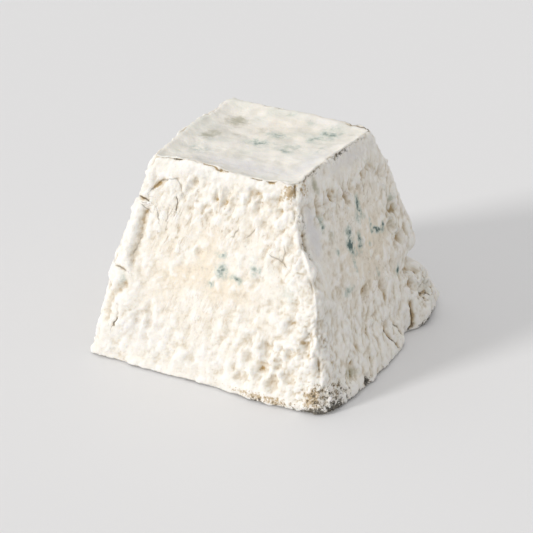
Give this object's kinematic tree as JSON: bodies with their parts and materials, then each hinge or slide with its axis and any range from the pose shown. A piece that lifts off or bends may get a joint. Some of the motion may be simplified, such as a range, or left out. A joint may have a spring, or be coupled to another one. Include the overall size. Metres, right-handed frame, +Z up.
{
  "type": "truncated pyramid cheese",
  "caption": "Whole small ripened cheese, a truncated pyramid with a wrinkled bloomy rind, dished top and spread foot, standing on its flat underside.",
  "frame": {"origin": "middle of the flat underside, on the surface that the cheese stands on", "axes": "+Z up through the dished top, +X to the right face, -Y to the front face"},
  "size_m": [0.0822, 0.0826, 0.0621],
  "materials": {
    "rind": "matte"
  },
  "bodies": {
    "root": {"cheese": "rind"}
  },
  "joints": []
}
